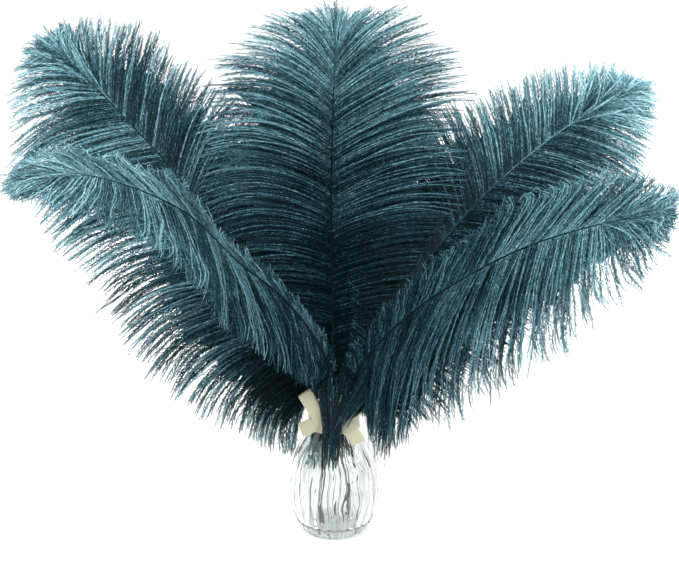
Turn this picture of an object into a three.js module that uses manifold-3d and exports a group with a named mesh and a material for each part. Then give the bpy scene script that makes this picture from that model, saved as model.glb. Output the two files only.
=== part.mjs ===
// Five dyed ostrich plumes standing in a small ribbed glass bud vase with a ribbon bow round its neck.
// Millimetres, +Z up. The origin is the centre of the vase's flat foot, and -Y is the front.
// Each plume grew as one piece, so it is one solid: a tapered shaft, two vanes cut into locks and, on
// three of the plumes, longer locks of down that fall inside the vase or over its lip.
import * as THREE from "three";
import { mergeVertices } from "three/addons/utils/BufferGeometryUtils.js";
import Module from "manifold-3d";

// ---------- Driving dimensions ----------
const VASE = {
  wall: 2.2,
  floor: 7.5, // thickness of the glass under the stems
  floorRadius: 19,
  ribs: 24,
  ribDepth: 0.4,
  segmentsPerRib: 2,
  // radii of the outside and their heights, from the foot to the lip
  radii: [17, 22.2, 27.4, 30.2, 29.7, 26.8, 21.2, 16.9, 15.8, 16.2, 17.4],
  heights: [0, 4, 14, 28, 44, 58, 69.5, 77, 81.5, 86, 90],
  insideAt: [90, 81.5, 69.5, 58, 28, 14], // heights of the inside's rings, downwards
};

const RIBBON = {
  width: 10,
  thickness: 0.5,
  gap: 0.4, // between the band and the glass
  bandBottom: 77.5,
  knot: [-5, -20, 83.5],
  knotHalf: [4.2, 3.4, 5],
};

// Centre lines of the bow from the knot outwards, and the directions across the ribbon at both ends.
const BOW = {
  loop_left: {
    path: [
      [-5, -20, 84], [-12, -23, 93], [-18.5, -22.5, 103], [-20, -21, 105.5],
      [-18.5, -19.5, 103], [-12, -19.4, 93], [-5, -19.4, 84],
    ],
    across: [[0.85, 0, -0.52], [0.85, 0, -0.52]],
  },
  loop_right: {
    path: [
      [-5, -20, 84], [3, -23, 91], [9, -22.5, 97.5], [11, -21, 99.5],
      [9, -19.5, 97.5], [3, -19.4, 91], [-5, -19.4, 84],
    ],
    across: [[0.72, 0, -0.69], [0.72, 0, -0.69]],
  },
  tail_left: {
    path: [[-5, -20, 83], [-11, -21, 81.5], [-19.5, -17, 77]],
    across: [[0.2, 0, 1], [0.45, 0.1, 1]],
  },
  tail_right: {
    path: [[-5, -20, 83], [3, -23, 78], [10, -23.5, 72.5], [16, -22.5, 67.5]],
    across: [[0.6, 0, 0.8], [0.66, 0, 0.75]],
  },
};

const SHAFT = { sides: 5, rings: 16, rootRadius: 1.35, vaneRadius: 1.1, tipRadius: 0.3 };

// split and shoulder are steps along the middle barb of a lock: where it parts from the next lock, and
// where it starts to run to a point. There it is twice `taper` times as wide as at the split.
const LOCKS = {
  perSide: 20,
  thickness: 0.8,
  split: 6,
  shoulder: 8,
  taper: 0.42,
  ruffle: 2.2, // every second lock lies this far above the vane, and the others below
  unevenness: 0.07, // share of its length by which a lock is longer or shorter
};

const BARB_STEPS = 10; // straight steps along one barb
const BASE_END = 0.35; // share of a vane over which crowded barbs near the vase grow to full length
const REACH_AT = [0, 0.06, 0.25, 0.55, 0.8, 0.93, 1]; // where a plume's `reach` values hold along a vane
const LEAVE_AT = [0, 0.12, 0.5, 0.85, 1]; // where its `leave` angles hold

// shaft: points from the foot in the vase to the tip.
// start: where the vanes begin, as a share of the shaft.
// face: directions that the plume's upper side looks in, evenly spaced along the shaft.
// barb: longest barb on the left and right side. base: its share on each side where the vanes begin.
// reach: barb length along a vane as a share of the longest. leave: degrees between barb and shaft.
// sweep: further turn of a barb along its length, in degrees. droop: pull of gravity.
// falls: centre lines of the locks of down that hang from the lower shaft.
const PLUMES = {
  plume_back_centre: {
    shaft: [
      [1, 10, 8], [1, 10.5, 88], [0, 15, 108], [-1, 26, 142],
      [-2, 38, 231], [-1, 43, 284], [1, 47, 335],
    ],
    start: 0.265,
    face: [[0, -1, 0], [0, -1, 0.15]],
    barb: [98, 98],
    base: [1, 1],
    reach: [0.5, 0.68, 0.95, 1, 0.8, 0.58, 0.36],
    leave: [75, 55, 48, 46, 20],
    sweep: [62, 62],
    droop: [0.35, 0.35],
    falls: [],
  },
  plume_back_left: {
    shaft: [
      [-8, 4, 8], [-10, 4, 88], [-23.5, 8, 107], [-49, 12, 134],
      [-74, 17, 177], [-99, 22, 238], [-138, 25, 285], [-180, 28, 329],
    ],
    start: 0.24,
    face: [[0, -1, 0.1], [0.1, -1, 0.2]],
    barb: [104, 76],
    base: [1, 0.6],
    reach: [0.5, 0.68, 0.95, 1, 0.74, 0.46, 0.27],
    leave: [85, 60, 52, 46, 12],
    sweep: [35, 30],
    droop: [0.3, 0.15],
    falls: [[[-10, 4, 83], [-10.6, 0, 79], [-12.5, -5, 71], [-17, -10, 57]]],
  },
  plume_back_right: {
    shaft: [
      [8, 3, 8], [10, 3, 87], [17, 2, 109], [35, 1, 145],
      [59, 4, 188], [102, 10, 239], [149, 16, 279], [192, 20, 306],
    ],
    start: 0.25,
    face: [[0, -1, 0.1], [-0.1, -1, 0.2]],
    barb: [67, 94],
    base: [0.6, 1],
    reach: [0.5, 0.68, 0.95, 1, 0.74, 0.46, 0.27],
    leave: [85, 60, 52, 46, 12],
    sweep: [30, 35],
    droop: [0.15, 0.3],
    falls: [],
  },
  plume_front_left: {
    shaft: [
      [-6, -7, 8], [-5.5, -8.5, 88], [-5, -19, 129], [-30, -39, 176], [-62, -62, 211],
      [-94, -84, 249], [-138, -106, 274], [-166, -114, 280], [-184, -117, 277],
    ],
    start: 0.27,
    face: [[0.35, -1, 0.3], [0.3, -0.8, 0.9], [0, -0.3, 1]],
    barb: [80, 64],
    base: [1, 0.2],
    reach: [0.5, 0.68, 0.95, 1, 0.74, 0.46, 0.27],
    leave: [60, 50, 45, 35, 10],
    sweep: [75, 40],
    droop: [1, 0.9],
    falls: [
      [[-5, -14, 111], [-6, -26, 101], [-6, -27.5, 85], [-5.5, -30, 70], [-4, -33, 55]],
      [[-5.6, -8.5, 84], [-6, -9.8, 77], [-7.5, -13.5, 66], [-9.5, -17, 55]],
    ],
  },
  plume_front_right: {
    shaft: [
      [7, -7, 8], [5.8, -8.5, 88], [17, -20, 126], [50, -40, 169],
      [82, -60, 198], [122, -83, 226], [164, -106, 246], [196, -121, 256],
    ],
    start: 0.27,
    face: [[-0.35, -1, 0.3], [-0.4, -0.7, 0.7], [0.1, -0.8, 0.8]],
    barb: [62, 90],
    base: [0.3, 1],
    reach: [0.5, 0.68, 0.95, 0.9, 0.52, 0.3, 0.18],
    leave: [60, 50, 42, 32, 10],
    sweep: [40, 75],
    droop: [0.6, 0.9],
    falls: [
      [[11.5, -14.6, 110], [5.5, -26.5, 101], [3.2, -28, 85], [3, -30.5, 70], [3.5, -33.5, 57]],
      [[5.8, -8.5, 84], [6.4, -9.6, 77], [9, -13, 67], [13, -16, 57]],
    ],
  },
};

const FALL = { rings: 6, wide: 6.5, narrow: 3.6, thickness: 1 };

// ---------- Materials ----------
const glass = new THREE.MeshStandardMaterial({ color: 0xe9f0ee, roughness: 0.05, metalness: 0 });
const satin = new THREE.MeshStandardMaterial({ color: 0xcfc5a6, roughness: 0.45, metalness: 0 });
const dyedFeather = new THREE.MeshStandardMaterial({ color: 0x2f5866, roughness: 0.75, metalness: 0 });

// ---------- Solids ----------
const wasm = await Module();
wasm.setup();

const vector = (point) => new THREE.Vector3(...point);

// Reads a value held at given places, at a place between two of them.
function readAt(places, values, place) {
  const i = Math.max(1, places.findIndex((x) => x >= place));
  return THREE.MathUtils.mapLinear(place, places[i - 1], places[i], values[i - 1], values[i]);
}

function solidOf(geometry) {
  const plain = geometry.clone();
  for (const name of ["normal", "uv"]) plain.deleteAttribute(name);
  const merged = mergeVertices(plain, 1e-3);
  return new wasm.Manifold(
    new wasm.Mesh({
      numProp: 3,
      vertProperties: merged.attributes.position.array,
      triVerts: new Uint32Array(merged.index.array),
    }),
  );
}

// Joins closed geometries into one.
function join(geometries) {
  const whole = geometries.map(solidOf).reduce((sum, next) => sum.add(next));
  const { vertProperties, triVerts } = whole.getMesh();
  const geometry = new THREE.BufferGeometry();
  geometry.setAttribute("position", new THREE.BufferAttribute(vertProperties, 3));
  geometry.setIndex(new THREE.BufferAttribute(triVerts, 1));
  geometry.computeVertexNormals();
  return geometry;
}

function indexed(points, triangles) {
  const geometry = new THREE.BufferGeometry().setFromPoints(points);
  geometry.setIndex(triangles);
  return geometry;
}

// A closed skin over stacked rings of points. Seen from above the stack, each ring runs anticlockwise.
function loft(rings) {
  const count = rings[0].length;
  const last = (rings.length - 1) * count;
  const triangles = [];
  for (let r = 0; r < last; r += count) {
    for (let i = 0; i < count; i++) {
      const j = (i + 1) % count;
      triangles.push(r + i, r + j, r + count + j, r + i, r + count + j, r + count + i);
    }
  }
  for (let i = 1; i < count - 1; i++) triangles.push(0, i + 1, i, last, last + i, last + i + 1);
  return indexed(rings.flat(), triangles);
}

// Gives an open surface a thickness, half on each side, and walls along its free edges.
function thicken(points, triangles, thickness) {
  const sheet = indexed(points, triangles);
  sheet.computeVertexNormals();
  const normals = sheet.getAttribute("normal");
  const normal = new THREE.Vector3();
  const shifted = (distance) =>
    points.map((p, i) => p.clone().addScaledVector(normal.fromBufferAttribute(normals, i), distance));
  const n = points.length;
  const skin = [...triangles];
  const free = new Map();
  for (let t = 0; t < triangles.length; t += 3) {
    const [a, b, c] = triangles.slice(t, t + 3);
    skin.push(n + a, n + c, n + b);
    for (const [from, to] of [[a, b], [b, c], [c, a]]) {
      if (!free.delete(`${to} ${from}`)) free.set(`${from} ${to}`, [from, to]);
    }
  }
  for (const [from, to] of free.values()) skin.push(to, from, n + from, to, n + from, n + to);
  return indexed([...shifted(thickness / 2), ...shifted(-thickness / 2)], skin);
}

// A flat bar swept along a path. `across` gives its wide direction, and `half` half of both its sizes.
function strip(path, rings, across, half) {
  const curve = new THREE.CatmullRomCurve3(path.map(vector), false, "centripetal");
  const sections = [];
  for (let r = 0; r <= rings; r++) {
    const t = r / rings;
    const along = curve.getTangentAt(t);
    const wide = across(t).addScaledVector(along, -across(t).dot(along)).normalize();
    const flat = new THREE.Vector3().crossVectors(along, wide);
    const [w, h] = half(t);
    const corners = [[w, h], [-w, h], [-w, -h], [w, -h]];
    const centre = curve.getPointAt(t);
    sections.push(corners.map(([x, y]) => centre.clone().addScaledVector(wide, x).addScaledVector(flat, y)));
  }
  return loft(sections);
}

// ---------- Vase ----------
function vaseRing(radius, height, rib) {
  const count = VASE.ribs * VASE.segmentsPerRib;
  const ring = [];
  for (let i = 0; i < count; i++) {
    const turn = (2 * Math.PI * i) / count;
    const r = radius + rib * Math.cos(VASE.ribs * turn);
    ring.push(new THREE.Vector3(r * Math.cos(turn), r * Math.sin(turn), height));
  }
  return ring;
}

// Up the outside from foot to lip, then down the inside to the floor. The ribs fade at foot and neck.
function vaseMesh() {
  const { radii, heights, wall, floor, ribDepth } = VASE;
  const neckHeight = heights.at(-3);
  const outside = radii.map((radius, i) => {
    const rib = ribDepth * Math.sin(Math.PI * Math.min(1, heights[i] / neckHeight));
    return vaseRing(radius, heights[i], rib);
  });
  const inside = VASE.insideAt.map((z) => vaseRing(readAt(heights, radii, z) - wall, z, 0));
  const bottom = vaseRing(VASE.floorRadius, floor, 0);
  const mesh = new THREE.Mesh(join([loft([...outside, ...inside, bottom])]), glass);
  mesh.name = "vase";
  return mesh;
}

// ---------- Ribbon ----------
function ribbonMesh() {
  const { width, thickness, gap, bandBottom } = RIBBON;
  const top = bandBottom + width;
  const inner = gap + Math.max(...[bandBottom, top].map((z) => readAt(VASE.heights, VASE.radii, z)));
  const outer = inner + thickness;
  const section = [
    [inner, bandBottom], [outer, bandBottom], [outer, top], [inner, top], [inner, bandBottom],
  ];
  const band = new THREE.LatheGeometry(section.map((p) => new THREE.Vector2(...p)), 24);
  band.rotateX(Math.PI / 2);
  const knot = new THREE.SphereGeometry(1, 8, 6);
  knot.scale(...RIBBON.knotHalf).translate(...RIBBON.knot);
  const solids = [band, knot];
  for (const { path, across } of Object.values(BOW)) {
    const turn = (t) => vector(across[0]).lerp(vector(across[1]), t);
    solids.push(strip(path, 2 * path.length - 2, turn, () => [width / 2, thickness / 2]));
  }
  const mesh = new THREE.Mesh(join(solids), satin);
  mesh.name = "ribbon_bow";
  return mesh;
}

// ---------- Plumes ----------
const radians = THREE.MathUtils.degToRad;

// The place, and the directions along, across and out of the plume, at a share of its shaft.
function shaftFrame({ curve, face }, share) {
  const place = curve.getPointAt(share);
  const along = curve.getTangentAt(share);
  const step = share * (face.length - 1);
  const i = Math.min(Math.floor(step), face.length - 2);
  const out = vector(face[i]).lerp(vector(face[i + 1]), step - i);
  out.addScaledVector(along, -out.dot(along)).normalize();
  return { place, along, out, across: new THREE.Vector3().crossVectors(along, out) };
}

function shaftSolid(plume) {
  const { sides, rootRadius, vaneRadius, tipRadius } = SHAFT;
  const rings = [];
  for (let r = 0; r <= SHAFT.rings; r++) {
    const share = r / SHAFT.rings;
    const { place, across, out } = shaftFrame(plume, share);
    const radius = readAt([0, plume.start, 1], [rootRadius, vaneRadius, tipRadius], share);
    const ring = [];
    for (let i = 0; i < sides; i++) {
      const turn = (-2 * Math.PI * i) / sides;
      const point = place.clone().addScaledVector(across, radius * Math.cos(turn));
      ring.push(point.addScaledVector(out, radius * Math.sin(turn)));
    }
    rings.push(ring);
  }
  return loft(rings);
}

// The points of one barb: it leaves the shaft at an angle, turns outwards and then hangs.
function barbPath(plume, side, u, stretch = 1) {
  const hand = side < 0 ? 0 : 1;
  const { place, along, across } = shaftFrame(plume, THREE.MathUtils.lerp(plume.start, 1, u));
  const base = THREE.MathUtils.lerp(plume.base[hand], 1, Math.min(1, u / BASE_END));
  const length = plume.barb[hand] * base * readAt(REACH_AT, plume.reach, u) * stretch;
  const leave = radians(readAt(LEAVE_AT, plume.leave, u));
  const sweep = radians(plume.sweep[hand] * (1 - 0.6 * u));
  const droop = plume.droop[hand] * (1 - 0.3 * u);
  const path = [place];
  for (let i = 0; i < BARB_STEPS; i++) {
    const t = (i + 0.5) / BARB_STEPS;
    const angle = leave + sweep * t ** 1.3;
    const way = along.clone().multiplyScalar(Math.cos(angle));
    way.addScaledVector(across, side * Math.sin(angle));
    way.z -= droop * t ** 1.2;
    path.push(path[i].clone().addScaledVector(way.normalize(), length / BARB_STEPS));
  }
  return path;
}

// Both vanes as one open surface. Locks share their edges up to the split, then taper to separate points.
function vaneSolid(plume) {
  const { perSide, split, shoulder, taper, ruffle, unevenness } = LOCKS;
  const points = [];
  const triangles = [];
  const roots = [];
  const put = (point) => points.push(point) - 1;
  for (const side of [-1, 1]) {
    const face = (a, b, c) => (side > 0 ? triangles.push(a, b, c) : triangles.push(a, c, b));
    const seams = [];
    for (let k = 0; k <= perSide; k++) {
      const path = barbPath(plume, side, k / perSide);
      roots[k] ??= put(path[0]);
      seams.push([roots[k], put(path[split])]);
    }
    for (let k = 0; k < perSide; k++) {
      const [lowRoot, low] = seams[k];
      const [highRoot, high] = seams[k + 1];
      const u = (k + 0.5) / perSide;
      const middle = barbPath(plume, side, u, 1 + unevenness * Math.sin(2.4 * k + side));
      const { along, out } = shaftFrame(plume, THREE.MathUtils.lerp(plume.start, 1, u));
      const lift = k % 2 ? ruffle : -ruffle;
      const width = points[low].distanceTo(points[high]);
      const centre = middle[shoulder].addScaledVector(out, lift);
      const left = put(centre.clone().addScaledVector(along, -width * taper));
      const right = put(centre.clone().addScaledVector(along, width * taper));
      const tip = put(middle[BARB_STEPS].addScaledVector(out, 2 * lift));
      face(lowRoot, low, high);
      face(lowRoot, high, highRoot);
      face(low, left, right);
      face(low, right, high);
      face(left, tip, right);
    }
  }
  return thicken(points, triangles, LOCKS.thickness);
}

// A lock of down that widens and then runs to a point: wide over the lip, narrow inside the vase.
function fallSolid(path) {
  const widest = path[0][2] > VASE.heights.at(-1) ? FALL.wide : FALL.narrow;
  const halves = (t) => {
    const width = 0.15 + widest * Math.sin(Math.PI * Math.min(1, 0.22 + 0.78 * t)) ** 0.8;
    return [width / 2, (FALL.thickness * (1.2 - t)) / 2];
  };
  return strip(path, FALL.rings, () => new THREE.Vector3(1, 0, 0), halves);
}

function plumeMesh(name) {
  const curve = new THREE.CatmullRomCurve3(PLUMES[name].shaft.map(vector), false, "centripetal");
  const plume = { ...PLUMES[name], curve };
  const solids = [shaftSolid(plume), vaneSolid(plume), ...plume.falls.map(fallSolid)];
  const mesh = new THREE.Mesh(join(solids), dyedFeather);
  mesh.name = name;
  return mesh;
}

const object = new THREE.Group();
object.add(vaseMesh(), ribbonMesh());
for (const name of Object.keys(PLUMES)) object.add(plumeMesh(name));
export default object;
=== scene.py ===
"""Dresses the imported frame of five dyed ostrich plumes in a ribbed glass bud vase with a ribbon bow.

Metres, +Z up. The origin is the centre of the vase's foot, and -Y is the front.
"""

import math

import bpy
import numpy as np
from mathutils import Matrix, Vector


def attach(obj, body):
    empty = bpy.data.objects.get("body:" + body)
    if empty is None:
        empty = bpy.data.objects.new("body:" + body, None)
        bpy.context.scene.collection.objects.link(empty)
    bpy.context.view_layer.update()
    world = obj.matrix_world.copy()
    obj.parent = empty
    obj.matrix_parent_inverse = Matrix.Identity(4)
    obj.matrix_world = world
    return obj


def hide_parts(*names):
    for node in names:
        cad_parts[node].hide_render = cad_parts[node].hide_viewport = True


bl_info = {
    "name": "Ostrich Plumes in a Bud Vase",
    "version": (1, 0, 0),
    "blender": (4, 5, 0),
    "location": "View3D > Sidebar > Plumes",
    "description": "Makes dyed ostrich plumes, a ribbed glass bud vase, its ribbon bow and a plain studio",
    "category": "Object",
}

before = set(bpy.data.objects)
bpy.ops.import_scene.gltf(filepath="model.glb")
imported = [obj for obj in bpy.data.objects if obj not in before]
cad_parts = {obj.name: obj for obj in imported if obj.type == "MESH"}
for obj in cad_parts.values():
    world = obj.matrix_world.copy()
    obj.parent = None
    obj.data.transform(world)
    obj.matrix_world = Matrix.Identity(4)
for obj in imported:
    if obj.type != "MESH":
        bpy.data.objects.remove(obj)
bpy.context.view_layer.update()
MM = 0.001
UP = np.array([0.0, 0.0, 1.0])

# ---------------- the vase's outline and the plumes

# Radii of the vase's outside and their heights in mm, from the foot to the lip, as in the part's source.
VASE_RADII = [17, 22.2, 27.4, 30.2, 29.7, 26.8, 21.2, 16.9, 15.8, 16.2, 17.4]
VASE_HEIGHTS = [0, 4, 14, 28, 44, 58, 69.5, 77, 81.5, 86, 90]
NECK_HEIGHT = 81.5
# The space round the bow in mm, low and high along x, y and z. Barbs are laid over its front.
BOW_SPACE = ((-27, 20), (-27, -12), (62, 108))

# Where a plume's reach shares and leave angles hold along its vane, from its start to the plume's tip.
REACH_AT = [0, 0.06, 0.25, 0.55, 0.8, 0.93, 1]
LEAVE_AT = [0, 0.12, 0.5, 0.85, 1]

# shaft: points in mm from the foot in the vase to the tip, as in the part's source. start: where the vanes
# begin, as a share of it. face: directions that the upper side looks in, evenly spaced along the shaft.
# Then, for the vane on the left and on the right: barb, the longest barb in mm. base: the share of it where
# the vane begins. reach: barb length along the vane as a share of the longest. leave: degrees between barb
# and shaft. sweep: further turn of a barb in degrees. droop: pull of gravity. curl: degrees that its end
# hooks. bright: how much paler that side's barbs are, a painted light on a side that faces the lamps and,
# where negative, a painted shade on a side turned from them. bow: how far they bow out of the vane's plane
# near the shaft, towards its face or away from it. mat: the share of a barb, from the shaft out, that a
# sheet behind the barbs covers.
# shades: how pale a plume is at a barb's root and tip, and at the vane's start and the plume's tip: the dye,
# with painted shade where barbs crowd at the roots and low in the plume, and painted light towards the
# tips and the plume's top.
# clump: how far barbs gather into long hanging locks. bold: how far the strands differ in tone.
# quill: how pale the shaft is where the vanes begin and at its tip, from 0 for a barb's root to 1 for its
# tip, and more for paler still.
# falls: locks of down that hang from the lower shaft: half width in mm at the top and at the end, how pale
# they are, and centre line.
PLUMES = {
    "plume_back_centre": dict(
        shaft=[
            (1, 10, 8), (1, 10.5, 88), (0, 15, 108), (-1, 26, 142),
            (-2, 38, 231), (-1, 43, 284), (1, 47, 335),
        ],
        start=0.265,
        face=[(0, -1, 0), (0, -1, 0.15)],
        barb=(103, 103),
        base=(1, 1),
        reach=([0.5, 0.68, 0.95, 1, 0.94, 0.6, 0.3], [0.5, 0.68, 0.95, 1, 1.0, 0.64, 0.3]),
        leave=([85, 70, 54, 47, 22], [85, 70, 56, 48, 22]),
        sweep=(64, 42),
        droop=(0.45, 0.3),
        curl=(0, 0),
        dye_and_shade=(0.14, 0.33, -0.52, 0.39),
        side_light=(0, 0),
        bow=(0.9, 1.0),
        clump=0.15,
        bold=0.55,
        mat=(0.82, 0.82),
        quill=(1.7, 0.1),
        falls=[],
    ),
    "plume_back_left": dict(
        shaft=[
            (-8, 4, 8), (-10, 4, 88), (-23.5, 8, 107), (-49, 12, 134),
            (-74, 17, 177), (-99, 22, 238), (-138, 25, 285), (-180, 28, 329),
        ],
        start=0.24,
        face=[(0, -1, 0.1), (0.1, -1, 0.2)],
        barb=(108, 80),
        base=(1, 0.6),
        reach=([0.42, 0.52, 0.78, 0.96, 0.82, 0.5, 0.27], [0.5, 0.68, 0.95, 1, 0.86, 0.55, 0.3]),
        leave=([106, 66, 60, 52, 14], [85, 60, 52, 46, 12]),
        sweep=(50, 30),
        droop=(0.38, 0.15),
        curl=(0, 0),
        dye_and_shade=(0.1, 0.5, -0.05, 0.22),
        side_light=(0, -0.2),
        bow=(0.1, -0.9),
        clump=0.6,
        bold=0.9,
        mat=(0.54, 0.74),
        quill=(2.0, 0.2),
        falls=[(2, 4, 0.9, [(-10, 4, 83), (-10.6, 0, 79), (-12.5, -5, 71), (-17, -10, 57)])],
    ),
    "plume_back_right": dict(
        shaft=[
            (8, 3, 8), (10, 3, 87), (17, 2, 109), (35, 1, 145),
            (59, 4, 188), (102, 10, 239), (149, 16, 279), (192, 20, 306),
        ],
        start=0.25,
        face=[(0, -1, 0.1), (-0.1, -1, 0.2)],
        barb=(78, 94),
        base=(0.1, 1),
        reach=([0.5, 0.68, 0.95, 1, 0.7, 0.4, 0.23], [0.5, 0.68, 0.95, 1, 0.74, 0.46, 0.27]),
        leave=([85, 60, 52, 46, 12], [85, 60, 52, 46, 12]),
        sweep=(30, 35),
        droop=(0.15, 0.3),
        curl=(0, 0),
        dye_and_shade=(0.0, 0.6, -0.52, 0.54),
        side_light=(-0.1, -0.3),
        bow=(-1.2, 0.1),
        clump=0.4,
        bold=0.75,
        mat=(0.74, 0.68),
        quill=(0.4, 1.4),
        falls=[],
    ),
    "plume_front_left": dict(
        shaft=[
            (-6, -7, 8), (-5.5, -8.5, 88), (-5, -19, 129), (-30, -39, 176), (-62, -62, 211),
            (-94, -84, 249), (-138, -106, 274), (-166, -114, 280), (-184, -117, 277),
        ],
        start=0.27,
        face=[(0.35, -1, 0.3), (0.3, -0.8, 0.9), (0, -0.3, 1)],
        barb=(72, 64),
        base=(0.3, 0.5),
        reach=([0.5, 0.68, 0.95, 0.85, 0.6, 0.46, 0.3], [0.4, 0.5, 0.55, 0.65, 0.7, 0.5, 0.35]),
        leave=([120, 150, 145, 80, 8], [8, 8, 18, 40, 15]),
        sweep=(-25, 25),
        droop=(0.6, 0.2),
        curl=(-40, 90),
        dye_and_shade=(0.38, 0.46, -0.28, 0.3),
        side_light=(-0.1, 0.2),
        bow=(0, 0),
        clump=0.85,
        bold=0.9,
        mat=(0.6, 0.6),
        quill=(0.9, 0.9),
        falls=[
            (7, 3.5, -0.1, [(-5, -15, 120), (-4, -26, 106), (-3, -28.5, 88), (-3.5, -31, 72), (-4, -34, 58)]),
            (3, 5, 0.9, [(-5.6, -8.5, 84), (-7, -10, 76), (-10, -13.5, 66), (-14, -17, 53)]),
        ],
    ),
    "plume_front_right": dict(
        shaft=[
            (7, -7, 8), (5.8, -8.5, 88), (17, -20, 126), (50, -40, 169),
            (82, -60, 198), (122, -83, 226), (164, -106, 246), (196, -121, 256),
        ],
        start=0.27,
        face=[(-0.35, -1, 0.3), (-0.4, -0.7, 0.7), (0.1, -0.8, 0.8)],
        barb=(60, 108),
        base=(1, 1),
        reach=([0.2, 0.25, 0.5, 1, 0.95, 0.64, 0.22], [0.12, 0.24, 0.88, 0.98, 0.74, 0.36, 0.13]),
        leave=([60, 45, 38, 36, 15], [138, 142, 138, 95, 15]),
        sweep=(25, -25),
        droop=(0.3, 0.6),
        curl=(115, -45),
        dye_and_shade=(0.3, 0.45, -0.42, 0.22),
        side_light=(0.15, -0.05),
        bow=(0, 0),
        clump=0.85,
        bold=0.7,
        mat=(0.6, 0.6),
        quill=(0.9, 0.9),
        falls=[
            (7, 3, -0.1, [(9, -16, 119), (4, -26.5, 105), (1, -28.5, 88), (0, -31, 72), (-1, -34, 60)]),
            (9, 4, 0.1, [(32, -26, 130), (21, -27.5, 113), (12, -28.5, 100), (5, -30, 87)]),
            (3, 5, 0.9, [(5.8, -8.5, 84), (6.4, -9.6, 77), (9, -13, 67), (13, -16, 57)]),
        ],
    ),
}

# ---------------- small helpers


def linear(hex_colour):
    """An sRGB hex colour as linear RGBA."""
    parts = [int(hex_colour[i : i + 2], 16) / 255 for i in (1, 3, 5)]
    return [c / 12.92 if c <= 0.04045 else ((c + 0.055) / 1.055) ** 2.4 for c in parts] + [1.0]


def add_node(tree, kind, settings=None, **inputs):
    """Adds a node with its settings. An input, by its name or as i and its number, takes a plain value, a
    socket to link to, or a node, which stands for its first output."""
    made = tree.nodes.new(kind)
    for name, value in (settings or {}).items():
        setattr(made, name, value)
    for name, value in inputs.items():
        socket = made.inputs[int(name[1:]) if name[1:].isdigit() else name.replace("_", " ")]
        if isinstance(value, bpy.types.Node):
            value = value.outputs[0]
        if isinstance(value, bpy.types.NodeSocket):
            tree.links.new(value, socket)
        else:
            socket.default_value = value
    return made


def new_material(name):
    """An empty node material, and its tree."""
    material = bpy.data.materials.new(name)
    material.use_nodes = True
    material.node_tree.nodes.clear()
    return material, material.node_tree


def new_geometry_tree(name, inputs, output):
    """An empty geometry node tree, and its input sockets from their names and types."""
    tree = bpy.data.node_groups.new(name, "GeometryNodeTree")
    for label, kind in inputs.items():
        tree.interface.new_socket(label, in_out="INPUT", socket_type="NodeSocket" + kind)
    tree.interface.new_socket(output, in_out="OUTPUT", socket_type="NodeSocketGeometry")
    return tree, add_node(tree, "NodeGroupInput").outputs


def end_geometry_tree(tree, geometry, material):
    """Ends a geometry node tree with real faces in one material."""
    real = add_node(tree, "GeometryNodeRealizeInstances", Geometry=geometry)
    dressed = add_node(tree, "GeometryNodeSetMaterial", Geometry=real, Material=material)
    tree.links.new(dressed.outputs[0], add_node(tree, "NodeGroupOutput").inputs[0])
    return tree


def set_inputs(modifier, **values):
    """Sets a geometry nodes modifier's inputs, by identifier, from the names that the tree gives them."""
    for item in modifier.node_group.interface.items_tree:
        if item.in_out == "INPUT" and item.name.replace(" ", "_") in values:
            modifier[item.identifier] = values[item.name.replace(" ", "_")]


def made_plain(holder, name):
    """The evaluated result of an object's modifiers as a plain mesh of its own. The holder goes."""
    depsgraph = bpy.context.evaluated_depsgraph_get()
    mesh = bpy.data.meshes.new_from_object(holder.evaluated_get(depsgraph), depsgraph=depsgraph)
    mesh.name = name
    bpy.data.objects.remove(holder, do_unlink=True)
    plain = bpy.data.objects.new(name, mesh)
    bpy.context.scene.collection.objects.link(plain)
    return plain


def mesh_object(name, vertices, faces=(), edges=(), attributes=None):
    """An object at the origin from points in metres, with point attributes of one or three numbers."""
    mesh = bpy.data.meshes.new(name)
    mesh.from_pydata(np.asarray(vertices).tolist(), edges, faces)
    for label, values in (attributes or {}).items():
        values = np.asarray(values, dtype=np.float32)
        kind, field = ("FLOAT", "value") if values.ndim == 1 else ("FLOAT_VECTOR", "vector")
        mesh.attributes.new(label, kind, "POINT").data.foreach_set(field, values.ravel())
    mesh.update()
    made = bpy.data.objects.new(name, mesh)
    bpy.context.scene.collection.objects.link(made)
    return made


def joined(name, objects):
    """One object from several."""
    for other in bpy.context.selected_objects:
        other.select_set(False)
    for one in objects:
        one.select_set(True)
    bpy.context.view_layer.objects.active = objects[0]
    bpy.ops.object.join()
    piece = bpy.context.view_layer.objects.active
    piece.name = name
    piece.data.name = name
    return piece


def grid_faces(rows, columns, first=0, closed=False):
    """Quads between points numbered row by row from the first. Closed: each row's end meets its start."""
    index = first + np.arange(rows * columns).reshape(rows, columns)
    if closed:
        index = np.hstack([index, index[:, :1]])
    corners = index[:-1, :-1], index[:-1, 1:], index[1:, 1:], index[1:, :-1]
    return np.stack([corner.ravel() for corner in corners], axis=1).tolist()


def unit(vectors):
    return vectors / np.linalg.norm(vectors, axis=-1, keepdims=True)


def smooth_step(low, high, x):
    t = np.clip((x - low) / (high - low), 0, 1)
    return t * t * (3 - 2 * t)


def read_off(at, knots, points):
    """Points at the given places of a row of points that stand at the knots."""
    return np.stack([np.interp(at, knots, points[:, k]) for k in range(3)], axis=-1)


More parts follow.
